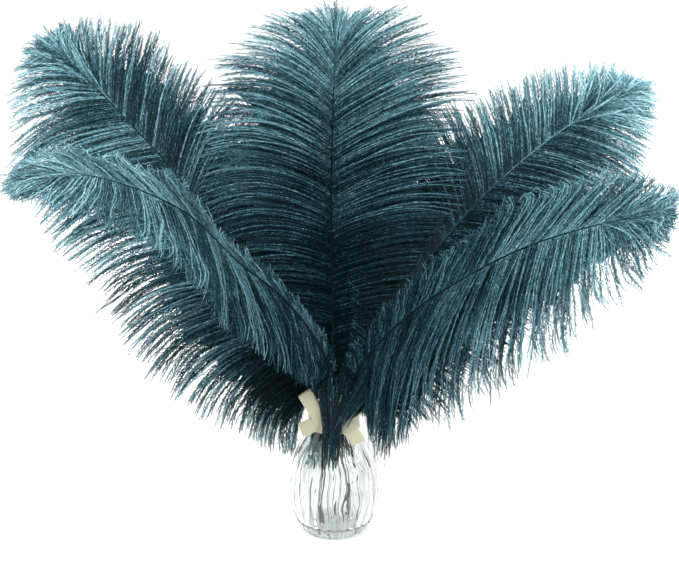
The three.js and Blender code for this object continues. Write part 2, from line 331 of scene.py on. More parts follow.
def even_curve(points, count):
    """Points in metres, evenly spaced along a centripetal Catmull-Rom curve through the given ones in mm."""
    p = np.asarray(points, dtype=float) * MM
    p = np.vstack([2 * p[0] - p[1], p, 2 * p[-1] - p[-2]])
    fine = []
    for a, b, c, d in zip(p, p[1:], p[2:], p[3:]):
        d0, d1, d2 = (math.sqrt(np.linalg.norm(q)) for q in (b - a, c - b, d - c))
        slope_b = ((b - a) / d0 - (c - a) / (d0 + d1) + (c - b) / d1) * d1
        slope_c = ((c - b) / d1 - (d - b) / (d1 + d2) + (d - c) / d2) * d1
        t = np.linspace(0, 1, 60, endpoint=False)[:, None]
        cubic = (2 * b - 2 * c + slope_b + slope_c) * t**3
        fine.append(b + slope_b * t + (-3 * b + 3 * c - 2 * slope_b - slope_c) * t**2 + cubic)
    fine = np.vstack(fine + [p[-2][None]])
    run = np.concatenate([[0], np.cumsum(np.linalg.norm(np.diff(fine, axis=0), axis=1))])
    return read_off(np.linspace(0, run[-1], count), run, fine)


# ---------------- materials


def dyed_keratin(name, dye_and_shade):
    """Dyed feather keratin: translucent and softly glossy. Its colour is darkest at the roots and low in
    the plume and paler towards the tips and the top: the dye, with painted shade where barbs crowd and
    painted light where they reach out. The top barb of each strand and the barb stems carry painted
    highlights, and the barbs behind and the barbule ends carry painted shade. The dye took unevenly, along
    each strand and over patches of 40 mm."""
    material, tree = new_material(name)
    dye = bpy.context.scene.plume_dye
    along, rise, strand, painted_shade = (
        add_node(tree, "ShaderNodeAttribute", {"attribute_name": label}).outputs["Fac"]
        for label in ("along", "rise", "strand", "painted_shade")
    )
    place = add_node(tree, "ShaderNodeTexCoord").outputs["Object"]
    on_strand = add_node(tree, "ShaderNodeCombineXYZ", X=along, Y=strand)
    drawn_out = add_node(
        tree, "ShaderNodeVectorMath", {"operation": "MULTIPLY"}, i0=on_strand, i1=(16.0, 90.0, 0.0)
    )
    streaks, patches, specks = (
        add_node(tree, "ShaderNodeTexNoise", Vector=where, Scale=scale, Detail=detail)
        for where, scale, detail in (
            (drawn_out, 1.0, 1.0),  # 16 along a barb, which is one every 5 mm or so
            (place, 0.025 / MM, 1.0),  # one every 40 mm
            (place, 0.7 / MM, 2.0),  # one every 1.4 mm, coarser than real ones so that they show
        )
    )
    # what makes a place paler: its source, the source's range, and the shade at either end of it
    root, tip, start, end = dye_and_shade
    sources = (
        # barb root to tip and vane start to plume tip: the dye, with painted shade low and near the shaft and
        # painted light towards the tips and the top
        (along, 0.0, 1.0, root, tip),
        (rise, 0.1, 1.0, start, end),
        # each barb's tone: a painted highlight on the top barb of each strand, painted shade on the barbs
        # behind, its side's painted light and shade, and random tone
        (strand, 0.0, 1.0, -0.2, 0.35),
        # painted highlight along the barb stems, which lack this attribute, and painted shade towards the
        # barbule ends, on the shaft and near the shaft on the sheet behind the barbs
        (painted_shade, 0.0, 1.0, 0.5, -0.26),
        (streaks, 0.3, 0.7, -0.12, 0.12),
        (patches, 0.35, 0.65, -0.06, 0.06),
        (specks, 0.3, 0.7, -0.15, 0.15),
    )
    pale = 0.1
    for source, low, high, dark, light in sources:
        shade = add_node(
            tree, "ShaderNodeMapRange", {"clamp": False}, Value=source, From_Min=low, From_Max=high,
            To_Min=dark, To_Max=light,
        )
        pale = add_node(tree, "ShaderNodeMath", {"operation": "ADD"}, i0=shade, i1=pale)
    within = add_node(tree, "ShaderNodeMath", {"operation": "MULTIPLY"}, i0=pale, i1=0.78)
    ramp = add_node(tree, "ShaderNodeValToRGB", Fac=within)
    stops = ramp.color_ramp.elements
    # the ramp runs from the dye at its darkest, reached with painted shade, to glint, a painted highlight
    # that the palest strands reach where the painted light adds up
    stops[0].color = dye.root
    stops[1].color = dye.glint
    for position, colour in ((0.35, dye.middle), (0.78, dye.tip)):
        stops.new(position).color = colour
    keratin = add_node(
        tree, "ShaderNodeBsdfPrincipled", Base_Color=ramp, Roughness=0.5, IOR=1.54, Specular_IOR_Level=0.07
    )
    through = add_node(tree, "ShaderNodeBsdfTranslucent", Color=ramp)
    mixed = add_node(tree, "ShaderNodeMixShader", i0=0.25, i1=keratin, i2=through)
    add_node(tree, "ShaderNodeOutputMaterial", Surface=mixed)
    return material


def soda_lime_glass():
    """Pressed soda-lime glass: clear, smooth and grey-green where light crosses much of it."""
    material, tree = new_material("pressed soda-lime glass")
    glass = add_node(
        tree, "ShaderNodeBsdfPrincipled", Base_Color=bpy.context.scene.bud_vase.glass, Roughness=0.0, IOR=1.5,
        Transmission_Weight=1.0,
    )
    thick = add_node(tree, "ShaderNodeVolumeAbsorption", Color=linear("#dde7e2"), Density=30.0)
    add_node(tree, "ShaderNodeOutputMaterial", Surface=glass, Volume=thick)
    return material


def woven_satin():
    """Woven satin ribbon: long floats give a soft shine along the ribbon, with a tighter pale selvedge."""
    material, tree = new_material("cream woven satin")
    ribbon = bpy.context.scene.ribbon_bow
    run, across = (
        add_node(tree, "ShaderNodeAttribute", {"attribute_name": label}).outputs["Fac"]
        for label in ("run", "across")
    )
    edge = add_node(tree, "ShaderNodeMath", {"operation": "ABSOLUTE"}, i0=across)
    hem = add_node(tree, "ShaderNodeMapRange", Value=edge, From_Min=0.86, From_Max=0.93)
    colour = add_node(
        tree, "ShaderNodeMix", {"data_type": "RGBA"}, i0=hem, i6=ribbon.satin, i7=ribbon.selvedge
    ).outputs[2]
    threads = add_node(tree, "ShaderNodeCombineXYZ", X=run, Y=across)
    # One float every 0.39 mm, drawn coarser than real ones so that they show. Across runs from -1 to 1, and a
    # wave texture of scale 1 repeats every pi / 10.
    float_gap = 0.39 * MM
    weave = add_node(
        tree, "ShaderNodeTexWave", {"bands_direction": "Y"}, Vector=threads, Distortion=1.0, Detail=2.0,
        Detail_Scale=8.0, Scale=math.pi / 10 * ribbon.width / 2 / float_gap,
    ).outputs["Fac"]
    shade = add_node(tree, "ShaderNodeMapRange", Value=weave, To_Min=0.92, To_Max=1.04)
    woven = add_node(
        tree, "ShaderNodeMix", {"data_type": "RGBA", "blend_type": "MULTIPLY"}, i0=1.0, i6=colour, i7=shade
    ).outputs[2]
    bump = add_node(tree, "ShaderNodeBump", Strength=0.25, Distance=0.08 * MM, Height=weave)
    satin = add_node(
        tree, "ShaderNodeBsdfPrincipled", Base_Color=woven, Roughness=0.38, Sheen_Weight=0.3,
        Sheen_Roughness=0.4, Normal=bump,
    )
    add_node(tree, "ShaderNodeOutputMaterial", Surface=satin)
    return material


def plain_finish(name, **inputs):
    """A material of one even colour and finish, for the studio."""
    material, tree = new_material(name)
    surface = add_node(tree, "ShaderNodeBsdfPrincipled", **inputs)
    add_node(tree, "ShaderNodeOutputMaterial", Surface=surface)
    return material


# ---------------- plumes


class Vane:
    """The shaft of one plume and its directions, from which barbs are drawn."""

    SAMPLES = 400  # places along the shaft where its directions are known
    BASE_END = 0.35  # share of the vane over which short barbs near the vase grow to full length
    CROWDING = 0.15  # how much closer barbs stand at the vane's start than halfway along it
    TUFT = 0.14  # share of the vane, at its tip, from which the tuft grows
    STRAND, LOCK, CLUMP = 2, 7, 18  # neighbouring barbs that gather into each, on average
    LOOSE = 0.15  # share of barbs that gather little
    BEHIND = 1 * MM  # how far behind its neighbours every second barb lies
    BEHIND_BREADTH = 2.4  # how much broader its barbules are, so that it closes the vane

    def __init__(self, plume):
        self.plume = plume
        self.points = even_curve(plume["shaft"], self.SAMPLES)
        self.along = unit(np.gradient(self.points, axis=0))
        self.length = np.linalg.norm(np.diff(self.points, axis=0), axis=1).sum()
        face = np.array(plume["face"], dtype=float)
        out = read_off(np.linspace(0, 1, self.SAMPLES), np.linspace(0, 1, len(face)), face)
        self.out = unit(out - self.along * (out * self.along).sum(1, keepdims=True))
        self.across = np.cross(self.along, self.out)

    def frame(self, share):
        """Place, and directions along, across and out, at shares of the shaft."""
        at = np.asarray(share) * (self.SAMPLES - 1)
        knots = np.arange(self.SAMPLES)
        place, *ways = (read_off(at, knots, v) for v in (self.points, self.along, self.across, self.out))
        return place, *(unit(way) for way in ways)

    def barbs(self, side, count, steps, random):
        """One side's barbs as centre lines, count x steps + 1 points, and what the strands need to know."""
        plume, hand = self.plume, 0 if side < 0 else 1
        x = np.clip((np.arange(count) + random.uniform(-0.4, 0.4, count) + 0.5) / count, 0, 1)
        u = (1 - self.CROWDING) * x + self.CROWDING * x * x
        base = plume["base"][hand] + (1 - plume["base"][hand]) * np.minimum(1, u / self.BASE_END)
        length = plume["barb"][hand] * MM * base * np.interp(u, REACH_AT, plume["reach"][hand])
        leave = np.radians(np.interp(u, LEAVE_AT, plume["leave"][hand]))
        # towards the plume's tip barbs turn, droop and bow less, and they hook most in between
        sweep = np.radians(plume["sweep"][hand] * (1 - 0.6 * u))
        droop = plume["droop"][hand] * (1 - 0.3 * u)
        curl = np.radians(plume["curl"][hand]) * random.uniform(0.1, 1.7, count) * smooth_step(0.2, 0.5, u)
        curl = curl * (1 - 0.6 * smooth_step(0.75, 0.95, u))
        # painted light on a side that faces the lamps, painted shade (negative values) on a side turned from
        # them
        side_light = np.full(count, float(plume["side_light"][hand]))
        bow = plume["bow"][hand] * (1 - 0.7 * smooth_step(0.7, 1.0, u))
        return self.grow(side, u, length, leave, sweep, droop, curl, side_light, bow, steps, random)

    def tuft(self, count, steps, random):
        """The barbs that crowd round the shaft's tip and close the plume."""
        plume = self.plume
        u = np.sort(1 - self.TUFT * random.uniform(0, 1, count) ** 1.8)
        # fan: from -1 for a barb that leaves furthest to the left, to 1 for the right
        fan = np.clip(random.normal(0, 0.6, count), -1.0, 1.0)
        order = np.argsort(fan)
        u, fan = u[order], fan[order]
        left, right = (barb * reach[-1] * MM for barb, reach in zip(plume["barb"], plume["reach"]))
        beyond_tip = np.where(fan < 0, left, right) * random.uniform(0.7, 1.1, count)
        up_to_tip = (1 - u) * (1 - plume["start"]) * self.length * random.uniform(0.6, 1.0, count)
        widest = np.interp(u, LEAVE_AT, np.minimum(np.mean(plume["leave"], axis=0), 50)) + 8
        leave = np.radians(np.abs(fan) * widest)
        sweep = np.radians(random.uniform(10, 50, count)) * np.minimum(1, np.abs(fan) / 0.8)
        droop = np.full(count, float(np.mean(plume["droop"])) * 0.6)
        none = np.zeros(count)
        return self.grow(
            np.sign(fan), u, beyond_tip + up_to_tip, leave, sweep, droop, none, none, none, steps, random
        )

    def grow(self, side, u, length, leave, sweep, droop, curl, side_light, bow, steps, random):
        """Draws barbs in steps from the shaft outwards, gathers and waves them, and gives each its tone, with
        a painted highlight on the top barb of each strand and painted shade on the barbs behind.
        """
        count = len(u)
        side = np.broadcast_to(side, count)
        start = self.plume["start"]
        place, along, across, out = self.frame(start + (1 - start) * u)
        sizes = (self.STRAND, self.LOCK, self.CLUMP)
        strand, lock, clump = (self.groups(count, size, random) for size in sizes)
        behind = np.arange(count) % 2 == 1
        # barbs differ in length, angle and lift, and whole locks in length and lift
        length = length * (1 + random.uniform(-0.14, 0.1, count) + self.per_lock(0.025, lock, random))
        length = length * np.where(behind, 0.95, 1.0)
        leave = leave + random.normal(0, 0.03, count)
        sweep = sweep + random.normal(0, 0.06, count)
        lift = self.per_lock(0.02, lock, random) + random.normal(0, 0.05, count) - 0.12 * behind
        shaft_radius = np.interp(u, [0, 1], [1.0, 0.3]) * MM
        sunk = 0.5 * shaft_radius + behind * self.BEHIND
        points = [place + across * (side * shaft_radius * 0.3)[:, None] - out * sunk[:, None]]
        for step in range(steps):
            t = (step + 0.5) / steps
            turn = leave + sweep * t**1.3 + curl * max(0.0, (t - 0.7) / 0.3) ** 1.5
            outwards = lift * math.cos(2.0 * t) + bow * (1 - smooth_step(0.0, 0.6, t))
            way = along * np.cos(turn)[:, None] + across * (side * np.sin(turn))[:, None]
            way += out * outwards[:, None] - UP * (droop * t**1.2)[:, None]
            points.append(points[-1] + unit(way) * (length / steps)[:, None])
        lines = self.gathered(np.stack(points, axis=1), (clump, lock, strand), behind, random)
        lines = self.waved(lines, along, out, lock, behind, random)
        on_top = self.middles(strand)[strand] == np.arange(count)
        # the top barb of each strand is painted paler, a painted highlight, and the barbs behind get a low
        # tone, a painted shade
        tone = np.where(on_top, random.uniform(0.7, 1.1, count), random.uniform(-0.1, 0.35, count))
        tone = np.where(behind, 0.1, 0.4 + (tone - 0.4) * self.plume["bold"]) + side_light
        return clear_of_vase(lines), out, u, tone, np.where(behind, self.BEHIND_BREADTH, 1.0)

    def gathered(self, lines, groupings, behind, random):
        """Draws barbs to the middle one of their clump, lock and strand, the more the nearer their ends."""
        clump = self.plume["clump"]
        t = np.linspace(0, 1, lines.shape[1])
        loose = random.uniform(0, 1, len(lines)) < self.LOOSE
        follow = np.where(loose, 0.15, 1.0) * np.where(behind, 0.3, 1.0)
        # for each grouping, its weakest and its strongest pull, and the share of a barb where it begins
        pulls = ((0.0, clump, 0.35), (0.0, 0.12 + 0.45 * clump, 0.6), (0.1, 0.6, 0.45))
        for group, (weakest, strongest, begins) in zip(groupings, pulls):
            pull = random.uniform(weakest, strongest, group.max() + 1)[group] * follow
            weight = pull[:, None] * smooth_step(begins, 1.0, t)
            lines = lines + (lines[self.middles(group)[group]] - lines) * weight[..., None]
        return lines

    def waved(self, lines, along, out, lock, behind, random):
        """Lets locks drift along the shaft and barbs wave, most on a plume that clumps."""
        count = len(lines)
        t = np.linspace(0, 1, lines.shape[1])
        crimp = (0.4 + 1.7 * self.plume["clump"]) * MM
        drift = self.per_lock(0.6 * crimp, lock, random) * np.where(behind, 0.3, 1.0)
        phase, heave_phase, lock_phase = random.uniform(0, 2 * math.pi, (3, count, 1))
        pace = random.uniform(5, 14, (count, 1))
        swing = (np.sin(phase + t * pace) * 0.7 + np.sin(lock_phase[lock] + t * 7.0) * 0.5) * t * crimp
        swing = swing + drift[:, None] * smooth_step(0.45, 1.0, t)
        heave = np.sin(heave_phase + t * 9.0) * t * 0.7 * crimp
        return lines + along[:, None] * swing[..., None] + out[:, None] * heave[..., None]

    @staticmethod
    def groups(count, size, random):
        """The number of each barb's group when a row is split into neighbouring groups of about that size."""
        ends = np.cumsum(random.uniform(0.5, 1.5, count) * size)
        return np.searchsorted(ends, np.arange(count))

    @staticmethod
    def per_lock(spread, lock, random):
        """A random number for each barb that its whole lock shares."""
        return random.normal(0, spread, lock.max() + 1)[lock]

    @staticmethod
    def middles(group):
        """The number of the middle barb of each group."""
        return np.array([int(np.median(np.flatnonzero(group == g))) for g in range(group.max() + 1)])


def clear_of_vase(lines):
    """Barbs laid over the vase and the bow where they would run into them."""
    x, y, z = lines[..., 0], lines[..., 1], lines[..., 2]
    in_bow = np.ones(x.shape, dtype=bool)
    for values, (low, high) in zip((x, y, z), BOW_SPACE):
        in_bow &= (values > low * MM) & (values < high * MM)
    y = np.where(in_bow, BOW_SPACE[1][0] * MM, y)
    clear = 1.5 * MM
    out = np.interp(z, np.array(VASE_HEIGHTS) * MM, np.array(VASE_RADII) * MM) + clear
    radius = np.hypot(x, y)
    below_lip = z < (VASE_HEIGHTS[-1] + 1) * MM
    push = np.where(below_lip & (radius < out), out / np.maximum(radius, MM), 1.0)
    return np.stack([x * push, y * push, z], axis=-1)


def shaded_backing(lines, out, rise, mat, random):
    """A sheet behind the barbs, with a row of points for every two of them, that closes the vane where they
    crowd and is darkest at the shaft, a painted shade: vertices, faces and attributes. mat: the share of a
    barb that it covers, from the shaft out."""
    count, steps = len(lines) // 2, 6
    depth = 1.6 * MM
    groups = np.array_split(np.arange(len(lines)), count)
    t = np.linspace(0, 1, lines.shape[1])
    rows, along = [], []
    for group in groups:
        reach = mat * random.uniform(0.75, 1.1) * (1 - 0.45 * smooth_step(0.7, 1, rise[group[0]]))
        along.append(np.linspace(0, reach, steps))
        rows.append(read_off(along[-1], t, lines[group].mean(0) - out[group].mean(0) * depth))
    attributes = {
        "along": np.concatenate(along),
        "rise": np.repeat([rise[group].mean() for group in groups], steps),
        "strand": np.repeat(random.uniform(0.2, 0.5, count), steps),
        # painted shade: darkest at the shaft and less towards the sheet's outer edge
        "painted_shade": np.tile(np.linspace(1.1, 0.4, steps), count),
    }
    return np.concatenate(rows), grid_faces(count, steps), attributes


def down(path, count, steps, wide, pale, random):
    """Barbs of down that hang along a path of points in mm. wide: half widths at its top and its end."""
    middle = even_curve(path, steps + 1)
    t = np.linspace(0, 1, steps + 1)
    across, forward = random.uniform(-1, 1, (count, 2)).T[..., None]
    ends = random.uniform(0.7, 1.08, (count, 1))
    begins = random.uniform(0, 0.25, (count, 1))
    lines = read_off(np.clip(begins + t * (ends - begins), 0, 1), t, middle)
    lines[..., 0] += np.interp(t, [0, 1], wide) * MM * across + np.sin(t * 6 + forward * 9) * t * 0.8 * MM
    lines[..., 1] += forward * 1.6 * MM
    lines[..., 2] -= np.maximum(t * ends - 1, 0) * 8 * MM
    out = np.broadcast_to(np.array([0.0, -1.0, 0.1]), (count, 3))
    return lines, out, np.full(count, 0.3), pale + random.uniform(-0.5, 0.5, count), np.ones(count)


def strand_tree():
    """A geometry node tree that turns barb centre lines into strands: a fine stem with barbules along it."""
    tree, given = new_geometry_tree("strands with barbules", {
        "Barbs": "Geometry", "Barbule": "Object", "Stem Radius": "Float", "Spacing": "Float",
        "Barbule Length": "Float", "Barbule Width": "Float", "Barbule Angle": "Float", "Seed": "Int",
        "Keratin": "Material",
    }, "Strands")
    along, broad, out = (
        add_node(tree, "GeometryNodeInputNamedAttribute", {"data_type": kind}, Name=label)
        for label, kind in (("along", "FLOAT"), ("broad", "FLOAT"), ("out", "FLOAT_VECTOR"))
    )
    # barbules are long over most of a barb and short at its end
    profile = add_node(tree, "ShaderNodeFloatCurve", Value=along)
    curve = profile.mapping.curves[0]
    curve.points[0].location = (0.0, 0.95)
    curve.points[1].location = (1.0, 0.15)
    for share, length in ((0.25, 1.0), (0.6, 0.85), (0.85, 0.62)):
        curve.points.new(share, length)
    profile.mapping.update()
    # they leave the barb on alternate sides, each with its own turn, tilt and length
    index = add_node(tree, "GeometryNodeInputIndex")
    parity = add_node(tree, "ShaderNodeMath", {"operation": "MODULO"}, i0=index, i1=2.0)
    chances = []
    for offset, (low, high) in enumerate(((0.2, 1.4), (-0.55, 0.25), (0.45, 1.3))):
        seed = add_node(tree, "ShaderNodeMath", {"operation": "ADD"}, i0=given["Seed"], i1=offset)
        chance = add_node(tree, "FunctionNodeRandomValue", {"data_type": "FLOAT"}, i2=low, i3=high, Seed=seed)
        chances.append(chance.outputs[1])
    turned, tilted, grown = chances
    sign, narrowing, slim, wider, longer = (
        add_node(tree, "ShaderNodeMapRange", {"clamp": False}, Value=value, To_Min=low, To_Max=high)
        for value, low, high in (
            (parity, -1, 1), (along, 1, 0.35), (profile, 0.55, 1), (broad, 0.5, 1), (broad, 0.7, 1)
        )
    )
    products = []
    for product, *factors in (
        (narrowing, given["Stem Radius"]),
        (wider, given["Spacing"]),
        (sign, given["Barbule Angle"], wider, turned),
        (profile, grown, given["Barbule Length"], longer),
        (broad, given["Barbule Width"], slim),
    ):
        for factor in factors:
            product = add_node(tree, "ShaderNodeMath", {"operation": "MULTIPLY"}, i0=product, i1=factor)
        products.append(product)
    stem_radius, spacing, yaw, reach, width = products
    # the stem of each barb is a flat strip across the vane that narrows towards its tip
    lines = add_node(tree, "GeometryNodeMeshToCurve", Mesh=given["Barbs"])
    level_lines = add_node(tree, "GeometryNodeSetCurveNormal", {"mode": "FREE"}, Curve=lines, Normal=out)
    sized_lines = add_node(tree, "GeometryNodeSetCurveRadius", Curve=level_lines, Radius=stem_radius)
    section = add_node(
        tree, "GeometryNodeCurvePrimitiveLine", {"mode": "POINTS"}, Start=(0, -1, 0), End=(0, 1, 0)
    )
    radius = add_node(tree, "GeometryNodeInputRadius")
    stem = add_node(tree, "GeometryNodeCurveToMesh", Curve=sized_lines, Profile_Curve=section, Scale=radius)
    # each barbule is one thin face that points forward and aside
    row = add_node(tree, "GeometryNodeResampleCurve", {"mode": "LENGTH"}, Curve=lines, Length=spacing)
    tangent = add_node(tree, "GeometryNodeInputTangent")
    forward = add_node(tree, "FunctionNodeAlignRotationToVector", {"axis": "X"}, Vector=tangent)
    level = add_node(
        tree, "FunctionNodeAlignRotationToVector", {"axis": "Z", "pivot_axis": "X"}, Rotation=forward,
        Vector=out,
    )
    turn = add_node(tree, "ShaderNodeCombineXYZ", Y=tilted, Z=yaw)
    euler = add_node(tree, "FunctionNodeEulerToRotation", Euler=turn)
    rotation = add_node(
        tree, "FunctionNodeRotateRotation", {"rotation_space": "LOCAL"}, Rotation=level, Rotate_By=euler
    )
    size = add_node(tree, "ShaderNodeCombineXYZ", X=reach, Y=width, Z=1.0)
    barbule = add_node(tree, "GeometryNodeObjectInfo", Object=given["Barbule"]).outputs["Geometry"]
    barbules = add_node(
        tree, "GeometryNodeInstanceOnPoints", Points=row, Instance=barbule, Rotation=rotation, Scale=size
    )
    both = add_node(tree, "GeometryNodeJoinGeometry")
    for part in (barbules, stem):
        tree.links.new(part.outputs[0], both.inputs[0])
    return end_geometry_tree(tree, both, given["Keratin"])


def polyline_mesh(name, lines, per_line):
    """Polylines as one mesh of edges, from count x points x 3 numbers and attributes that hold along each."""
    count, steps = lines.shape[:2]
    index = np.arange(count * steps).reshape(count, steps)
    edges = np.stack([index[:, :-1].ravel(), index[:, 1:].ravel()], axis=1).tolist()
    attributes = {label: np.repeat(values, steps, axis=0) for label, values in per_line.items()}
    attributes["along"] = np.tile(np.linspace(0, 1, steps), count)
    return mesh_object(name, lines.reshape(-1, 3), edges=edges, attributes=attributes)


def tube(path, radii, sides):
    """Vertices and faces of a closed tube round a path."""
    never_along = [0.31, 0.87, 0.38]  # a direction that no shaft takes
    tangent = unit(np.gradient(path, axis=0))
    side = unit(np.cross(tangent, never_along))
    other = np.cross(tangent, side)
    turn = np.linspace(0, 2 * math.pi, sides, endpoint=False)[None, :, None]
    ring = np.cos(turn) * side[:, None] + np.sin(turn) * other[:, None]
    vertices = (path[:, None] + ring * np.asarray(radii)[:, None, None]).reshape(-1, 3)
    last = len(vertices) - sides
    caps = [list(range(sides))[::-1], list(range(last, last + sides))]
    return vertices, grid_faces(len(path), sides, closed=True) + caps


def quill(name, plume, settings):
    """A plume's shaft, thick in the vase and fine at its tip."""
    rings, sides = 90, 12
    share, start = np.linspace(0, 1, rings), plume["start"]
    radii = np.interp(share, [0, start, 1], [settings.root_radius, settings.vane_radius, settings.tip_radius])
    vertices, faces = tube(even_curve(plume["shaft"], rings), radii, sides)
    # inside the glass the shaft is painted paler, a painted light that makes up for the light the glass holds
    # back
    painted_light_in_vase = 2.2
    pale = np.interp(share, [0.6 * start, start, 1], (painted_light_in_vase, *plume["quill"]))
    attributes = {
        # the whole shaft takes the darkest of this painted shade
        "along": np.repeat(pale, sides), "rise": np.repeat(share, sides), "painted_shade": np.ones(len(vertices))
    }
    shaft = mesh_object(name + "_shaft", vertices, faces, attributes=attributes)
    shaft.data.shade_smooth()
    return shaft


def feathered(name, plume, seed, tree, barbule, settings):
    """One plume as one object: its strands, its shaft and the webs behind the strands."""
    random = np.random.default_rng(100 + seed)
    vane = Vane(plume)
    keratin = dyed_keratin(f"dyed feather keratin, {name.replace('_', ' ')}", plume["dye_and_shade"])
    parts = [vane.barbs(side, settings.barbs, settings.steps, random) for side in (-1, 1)]
    parts.append(vane.tuft(settings.tuft, settings.steps, random))
    webs = [shaded_backing(*part[:3], mat, random) for part, mat in zip(parts, plume["mat"])]
    for top, end, pale, path in plume["falls"]:
        parts.append(down(path, settings.down * top, settings.steps, (top, end), pale, random))
    lines, out, rise, tone, broad = (np.concatenate(each) for each in zip(*parts))
    holder = polyline_mesh(name + "_barbs", lines, {"out": out, "rise": rise, "strand": tone, "broad": broad})
    modifier = holder.modifiers.new("strands", "NODES")
    modifier.node_group = tree
    set_inputs(
        modifier, Barbule=barbule, Stem_Radius=settings.stem, Spacing=settings.spacing,
        Barbule_Length=settings.barbule, Barbule_Width=settings.width, Barbule_Angle=settings.angle,
        Seed=seed * 10, Keratin=keratin,
    )
    strands = made_plain(holder, name + "_strands")
    solids = [quill(name, plume, settings)]
    for points, quads, attributes in webs:
        solids.append(mesh_object(name + "_web", points, quads, attributes=attributes))
    for solid in solids:
        solid.data.materials.append(keratin)
    return joined(name + "_feathered", [strands, *solids])


# ---------------- vase and ribbon


def vase_profile(settings):
    """Points of the glass from the axis under the foot, up the outside, over the lip and down the inside to
    the axis again, and how far the ribs stand out at each of them."""
    outline = even_curve([(r, 0, z) for r, z in zip(VASE_RADII, VASE_HEIGHTS)], 90)[:, [0, 2]]
    outward = unit(np.stack([np.gradient(outline[:, 1]), -np.gradient(outline[:, 0])], axis=1))
    # inside, the wall ends 4 mm over the floor and rounds into it over 6 mm
    inner = outline - outward * settings.wall
    inner = inner[inner[:, 1] > settings.floor + 4 * MM][::-1]
    corner_radius, corner_height = inner[-1]
    floor_radius = corner_radius - 6 * MM
    bend = np.linspace(0, math.pi / 2, 10)[1:, None]
    rounding = np.hstack([
        floor_radius + (corner_radius - floor_radius) * np.cos(bend),
        settings.floor + (corner_height - settings.floor) * (1 - np.sin(bend)),
    ])
    floor_centre = [[floor_radius * 0.5, settings.floor - 0.2 * MM], [0.0, settings.floor - 0.3 * MM]]
    turn = np.linspace(0, math.pi, 9)[1:-1, None]
    middle, half = (outline[-1] + inner[0]) / 2, (outline[-1] - inner[0]) / 2
    lip = middle + half * np.cos(turn) + np.array([[0, 1.0]]) * np.linalg.norm(half) * np.sin(turn)
    foot = np.array([[0.0, 0.6], [9.0, 0.5], [14.5, 0.0]]) * MM
    profile = np.vstack([foot, outline, lip, inner, rounding, floor_centre])
    # ribs are highest at the foot and fade out at the neck, and the inner wall bulges faintly behind each
    outside = slice(len(foot), len(foot) + len(outline))
    inside = slice(outside.stop + len(lip), outside.stop + len(lip) + len(inner))
    height = np.clip(profile[:, 1] / (NECK_HEIGHT * MM), 0, 1)
    rib = np.zeros(len(profile))
    rib[outside] = 1.5 - 0.7 * smooth_step(0.0, 0.3, height[outside])
    rib[outside] *= 1 - smooth_step(0.7, 0.97, height[outside])
    rib[inside] = -0.35 * np.sin(math.pi * height[inside])
    return profile, rib


def rib_tree():
    """A geometry node tree that raises wandering upright ribs where the mesh's rib attribute says."""
    tree, given = new_geometry_tree("pressed ribs", {
        "Vase": "Geometry", "Ribs": "Int", "Depth": "Float", "Waviness": "Float", "Glass": "Material",
    }, "Ribbed")
    place = add_node(tree, "GeometryNodeInputPosition")
    xyz = add_node(tree, "ShaderNodeSeparateXYZ", Vector=place).outputs
    turn = add_node(tree, "ShaderNodeMath", {"operation": "ARCTAN2"}, i0=xyz[1], i1=xyz[0])
    wander = add_node(tree, "ShaderNodeTexNoise", Vector=place, Scale=0.055 / MM, Detail=1.0)  # over 18 mm
    aside = add_node(
        tree, "ShaderNodeMapRange", {"clamp": False}, Value=wander, To_Min=-2 * math.pi, To_Max=2 * math.pi
    )
    rib = add_node(tree, "GeometryNodeInputNamedAttribute", {"data_type": "FLOAT"}, Name="rib")
    height = add_node(tree, "ShaderNodeMath", {"operation": "MULTIPLY"}, i0=aside, i1=given["Waviness"])
    for operation, values in (
        ("MULTIPLY_ADD", {"i0": turn, "i1": given["Ribs"], "i2": height}),
        ("COSINE", {}),
        ("MULTIPLY", {"i1": given["Depth"]}),
        ("MULTIPLY", {"i1": rib}),
    ):
        height = add_node(tree, "ShaderNodeMath", {"operation": operation}, **{"i0": height, **values})
    flat = add_node(tree, "ShaderNodeCombineXYZ", X=xyz[0], Y=xyz[1])
    outward = add_node(tree, "ShaderNodeVectorMath", {"operation": "NORMALIZE"}, i0=flat)
    offset = add_node(tree, "ShaderNodeVectorMath", {"operation": "SCALE"}, i0=outward, Scale=height)
    moved = add_node(tree, "GeometryNodeSetPosition", Geometry=given["Vase"], Offset=offset)
    return end_geometry_tree(tree, moved, given["Glass"])


def ribbon_paths():
    """The ribbon's runs: centre line in mm, direction across it, and how much of its width lies open."""
    turn = np.linspace(0, 2 * math.pi, 25)
    band = [(17.6 * math.cos(a), 17.6 * math.sin(a), 82.5) for a in turn]
    left_loop = [
        (-5, -20, 84), (-12, -23.5, 95), (-18.5, -23, 106), (-20.5, -21, 109),
        (-18.5, -19.2, 106), (-12, -19.4, 95), (-5, -19.4, 84),
    ]
    right_loop = [
        (-5, -20, 84), (3, -23, 91), (9, -22.5, 97.5), (11, -21, 99.5),
        (9, -19.5, 97.5), (3, -19.4, 91), (-5, -19.4, 84),
    ]
    left_tail = [(-5, -20, 84.5), (-12, -21.5, 86), (-23, -18.5, 80.5)]
    right_tail = [(-5, -20, 84), (3, -23, 87.5), (9.5, -24, 85.5), (13.5, -24, 80), (17, -23, 73)]
    knot = [(-5, -19, 79.5), (-5, -23.6, 80.5), (-5, -24.8, 84), (-5, -23.6, 87.5), (-5, -19, 88.5)]
    return [
        (band, (0, 0, 1), 1.0),
        (left_loop, (0.82, 0, 0.57), 1.0),
        (right_loop, (0.72, 0, -0.69), 1.0),
        (left_tail, (0.28, 0, 0.96), 1.0),
        (right_tail, (0.81, 0, 0.58), 1.0),
        (knot, (1, 0, 0.15), 0.75),
    ]


# ---------------- settings


def length_setting(name, description, metres):
    return bpy.props.FloatProperty(name=name, description=description, default=metres, unit="LENGTH")


